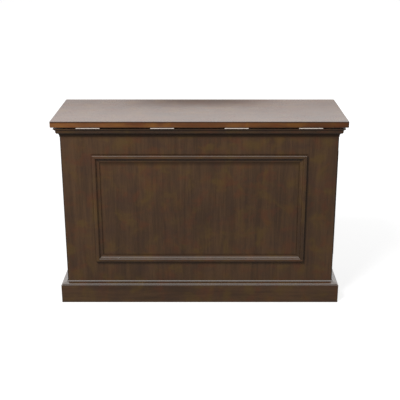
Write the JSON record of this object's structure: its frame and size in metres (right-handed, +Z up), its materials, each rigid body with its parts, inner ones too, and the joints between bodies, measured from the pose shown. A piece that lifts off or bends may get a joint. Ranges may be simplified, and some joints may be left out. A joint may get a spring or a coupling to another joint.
{
  "type": "tv lift cabinet",
  "caption": "Free-standing wooden cabinet whose hinged lid swings open as an electric column lift inside raises a television.",
  "frame": {"origin": "on the floor below the middle of the cabinet", "axes": "+X along the width, +Y away from the hinge side towards the side that the television faces, +Z up"},
  "size_m": [1.275, 0.452, 0.848],
  "materials": {
    "case_wood": "satin lacquer over a dark espresso stain",
    "lid_wood": "satin lacquer over a warm brown stain",
    "inside_wood": "thin sealer",
    "hinge_steel": "satin nickel plate",
    "black_steel": "fine black powder coat",
    "silver_steel": "satin",
    "screw_steel": "greased",
    "black_plastic": "fine spark texture",
    "nylon": "smooth, slightly waxy",
    "rubber": "matt"
  },
  "bodies": {
    "cabinet": {"rear_panel": "case_wood", "rear_plinth_board": "case_wood", "rear_plinth_cap": "case_wood", "rear_crown": "case_wood", "rear_top_rail": "case_wood", "rear_frame_bottom": "case_wood", "rear_frame_right": "case_wood", "rear_frame_top": "case_wood", "rear_frame_left": "case_wood", "right_panel": "case_wood", "right_plinth_board": "case_wood", "right_plinth_cap": "case_wood", "right_crown": "case_wood", "right_top_rail": "case_wood", "right_frame": "case_wood", "front_panel": "case_wood", "front_plinth_board": "case_wood", "front_plinth_cap": "case_wood", "front_crown": "case_wood", "front_top_rail": "case_wood", "front_frame_bottom": "case_wood", "front_frame_right": "case_wood", "front_frame_top": "case_wood", "front_frame_left": "case_wood", "left_panel": "case_wood", "left_plinth_board": "case_wood", "left_plinth_cap": "case_wood", "left_crown": "case_wood", "left_top_rail": "case_wood", "left_frame": "case_wood", "bottom_panel": "inside_wood", "cable_grommet": "black_plastic", "control_box": "black_plastic", "gear_motor": "black_plastic", "lid_bumper_left": "rubber", "lid_bumper_right": "rubber", "lift_base_plate": "black_steel", "outer_column": "black_steel", "hinge_fixed_leaf_1": "hinge_steel", "hinge_fixed_leaf_2": "hinge_steel", "hinge_fixed_leaf_3": "hinge_steel", "hinge_fixed_leaf_4": "hinge_steel"},
    "lid": {"lid_board": "lid_wood", "hinge_lid_leaf_1": "hinge_steel", "hinge_lid_leaf_2": "hinge_steel", "hinge_lid_leaf_3": "hinge_steel", "hinge_lid_leaf_4": "hinge_steel"},
    "lift_middle": {"middle_column": "silver_steel", "lower_nut": "nylon"},
    "lift_carriage": {"inner_column": "silver_steel", "upper_nut": "nylon", "head_bracket": "black_steel", "tv_crossbar": "black_steel", "tv_arm_left": "black_steel", "tv_arm_right": "black_steel", "lid_pusher": "black_steel"},
    "lower_screw": {"lower_screw": "screw_steel"},
    "upper_screw": {"upper_screw": "screw_steel"},
    "roller_left": {"pusher_roller_left": "nylon"},
    "roller_right": {"pusher_roller_right": "nylon"}
  },
  "joints": [
    {"name": "lower_stage_slide", "type": "slide", "parent": "cabinet", "child": "lift_middle", "axis": [0, 0, 1], "range_m": [0, 0.33]},
    {"name": "upper_stage_slide", "type": "slide", "parent": "lift_middle", "child": "lift_carriage", "axis": [0, 0, 1], "range_m": [0, 0.33]},
    {"name": "lid_hinge", "type": "hinge", "parent": "cabinet", "child": "lid", "pos_m": [0, -0.2205, 0.818], "axis": [1, 0, 0], "range_deg": [0, 95]},
    {"name": "lower_screw_spin", "type": "hinge", "parent": "cabinet", "child": "lower_screw", "pos_m": [0, -0.062, 0.3], "axis": [0, 0, 1], "range_deg": [0, 11900]},
    {"name": "upper_screw_spin", "type": "hinge", "parent": "lift_middle", "child": "upper_screw", "pos_m": [0, -0.062, 0.3], "axis": [0, 0, 1], "range_deg": [0, 11900]},
    {"name": "roller_left_spin", "type": "hinge", "parent": "lift_carriage", "child": "roller_left", "pos_m": [-0.164, -0.0077, 0.694], "axis": [1, 0, 0], "continuous": true},
    {"name": "roller_right_spin", "type": "hinge", "parent": "lift_carriage", "child": "roller_right", "pos_m": [0.164, -0.0077, 0.694], "axis": [1, 0, 0], "continuous": true}
  ],
  "couplings": [
    {"joint": "upper_stage_slide", "follows": "lower_stage_slide", "ratio": 1},
    {"joint": "lid_hinge", "follows": "lower_stage_slide", "rad_per_m": 5.024},
    {"joint": "lower_screw_spin", "follows": "lower_stage_slide", "rad_per_m": 628.32},
    {"joint": "upper_screw_spin", "follows": "lower_stage_slide", "rad_per_m": 628.32}
  ]
}
